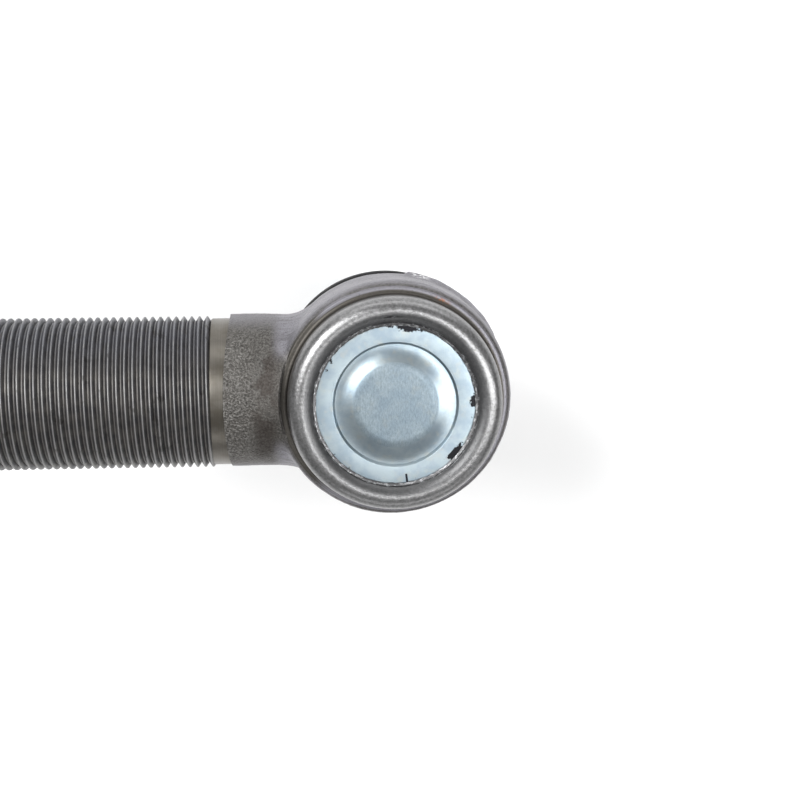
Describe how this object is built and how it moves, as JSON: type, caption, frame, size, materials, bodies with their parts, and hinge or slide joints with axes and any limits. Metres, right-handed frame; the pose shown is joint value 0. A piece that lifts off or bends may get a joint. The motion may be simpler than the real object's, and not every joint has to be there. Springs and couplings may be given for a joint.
{
  "type": "tie rod end",
  "caption": "Straight tie rod end: a forged housing with a left-hand threaded shank and a rolled-in cover, holding a swivelling tapered ball stud with boot, castle nut and pin.",
  "frame": {"origin": "ball centre, where the shank axis and the stud axis cross", "axes": "+Z along the stud axis out through the cover, -Z towards the stud end, -X along the threaded shank"},
  "size_m": [0.1591, 0.0642, 0.1303],
  "materials": {
    "forged_steel": "forged and shot-blasted skin, machined at the thread and the rolled lip",
    "zinc_plate": "bright bluish zinc plating",
    "ground_steel": "turned and ground bright steel",
    "spring_steel": "blued spring steel",
    "seat_plastic": "natural white bearing plastic",
    "boot_rubber": "black rubber with a dull moulded skin",
    "seal_rubber": "black nitrile rubber",
    "galvanised_nut": "zinc-plated, satin"
  },
  "bodies": {
    "housing": {"housing": "forged_steel", "cover_plate": "zinc_plate", "cover_seal_ring": "seal_rubber", "disc_spring": "spring_steel", "upper_ball_seat": "seat_plastic", "lower_ball_seat": "seat_plastic", "boot_upper_ring": "spring_steel"},
    "boot": {"dust_boot": "boot_rubber"},
    "boot_collar": {"boot_lower_ring": "spring_steel"},
    "stud": {"ball_stud": "ground_steel", "castle_nut": "galvanised_nut", "split_pin": "ground_steel"}
  },
  "joints": [
    {"name": "swing_x", "type": "hinge", "parent": "housing", "child": "boot", "pos_m": [0, 0, 0], "axis": [1, 0, 0], "range_deg": [-15, 15], "deforming": ["dust_boot"]},
    {"name": "swing_y", "type": "hinge", "parent": "boot", "child": "boot_collar", "pos_m": [0, 0, 0], "axis": [0, 1, 0], "range_deg": [-15, 15]},
    {"name": "stud_spin", "type": "hinge", "parent": "boot_collar", "child": "stud", "pos_m": [0, 0, 0], "axis": [0, 0, 1], "continuous": true}
  ]
}
